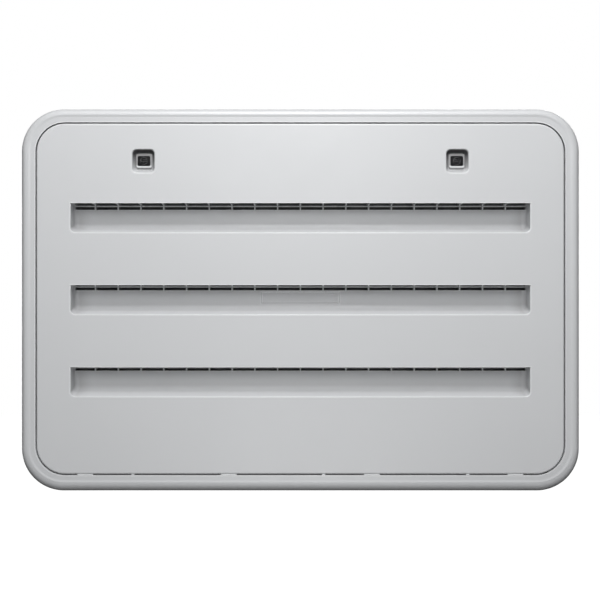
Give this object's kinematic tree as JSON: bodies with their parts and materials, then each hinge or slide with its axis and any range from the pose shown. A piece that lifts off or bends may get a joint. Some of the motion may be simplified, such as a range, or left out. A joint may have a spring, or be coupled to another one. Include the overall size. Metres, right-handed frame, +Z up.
{
  "type": "louvred service vent cover",
  "caption": "Wall-mounted louvred vent cover: a surface frame with a tilt-out door of horizontal air slots, held by quarter-turn latches.",
  "frame": {"origin": "centre of the opening in the wall, on the wall plane, which is also the centre of the door in the front view and of the flange's screw pattern", "axes": "+X to the right as seen from the front, +Y into the wall (the front faces -Y), +Z up"},
  "size_m": [0.61, 0.0363, 0.4176],
  "materials": {
    "frame_plastic": "satin off-white moulded plastic",
    "door_plastic": "satin off-white moulded plastic",
    "latch_black_plastic": "slightly glossy black plastic",
    "cam_plastic": "matte black glass-filled plastic",
    "latch_steel": "zinc-plated"
  },
  "bodies": {
    "frame": {"wall_frame": "frame_plastic"},
    "door": {"door_panel": "door_plastic", "latch_housing_left": "latch_black_plastic", "latch_housing_right": "latch_black_plastic"},
    "latch_left": {"latch_knob_left": "latch_black_plastic", "latch_washer_left": "latch_steel", "latch_cam_left": "cam_plastic", "latch_screw_left": "latch_steel"},
    "latch_right": {"latch_knob_right": "latch_black_plastic", "latch_washer_right": "latch_steel", "latch_cam_right": "cam_plastic", "latch_screw_right": "latch_steel"}
  },
  "joints": [
    {"name": "door_tilt", "type": "hinge", "parent": "frame", "child": "door", "pos_m": [0, -0.0132, -0.1917], "axis": [1, 0, 0], "range_deg": [0, 45]},
    {"name": "latch_turn_left", "type": "hinge", "parent": "door", "child": "latch_left", "pos_m": [-0.1711, -0.005, 0.1508], "axis": [0, -1, 0], "range_deg": [0, 90]},
    {"name": "latch_turn_right", "type": "hinge", "parent": "door", "child": "latch_right", "pos_m": [0.1711, -0.005, 0.1508], "axis": [0, 1, 0], "range_deg": [0, 90]}
  ]
}
